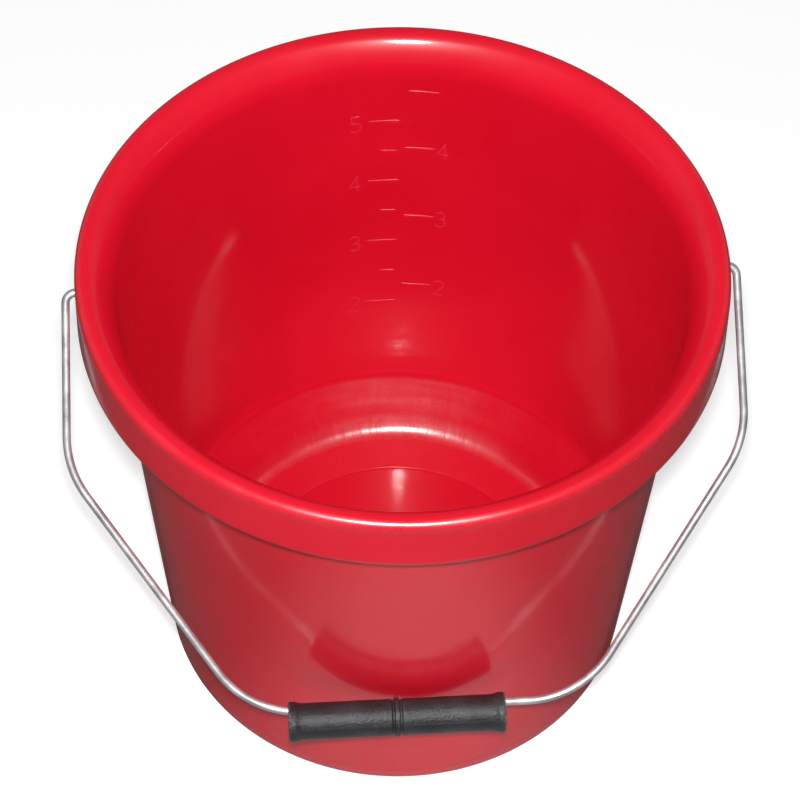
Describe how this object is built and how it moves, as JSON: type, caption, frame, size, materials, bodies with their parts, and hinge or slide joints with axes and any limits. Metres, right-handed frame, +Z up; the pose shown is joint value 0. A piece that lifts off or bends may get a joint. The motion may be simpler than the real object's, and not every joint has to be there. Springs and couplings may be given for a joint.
{
  "type": "wash bucket",
  "caption": "Tapered round wash bucket with a rolled lip and skirt, a bent wire bail that swings between two ears, and a loose tube grip.",
  "frame": {"origin": "centre of the foot ring, on the floor plane", "axes": "+Z up out of the bucket's mouth, +X along the bail's pivot axis, -Y towards the side where the bail hangs"},
  "size_m": [0.251, 0.2364, 0.2073],
  "materials": {
    "red_plastic": "glossy moulded polypropylene",
    "zinc_wire": "dull zinc-plated steel wire",
    "black_plastic": "semi-matt moulded plastic with a coarse grain"
  },
  "bodies": {
    "bucket": {"bucket_shell": "red_plastic"},
    "bail": {"bail_wire": "zinc_wire"},
    "grip": {"grip_tube": "black_plastic"}
  },
  "joints": [
    {"name": "bail_swing", "type": "hinge", "parent": "bucket", "child": "bail", "pos_m": [0, 0, 0.1959], "axis": [-1, 0, 0], "range_deg": [0, 281.8]},
    {"name": "grip_spin", "type": "hinge", "parent": "bail", "child": "grip", "pos_m": [-0.0072, -0.10487, 0.06658], "axis": [1, 0, 0], "continuous": true}
  ]
}
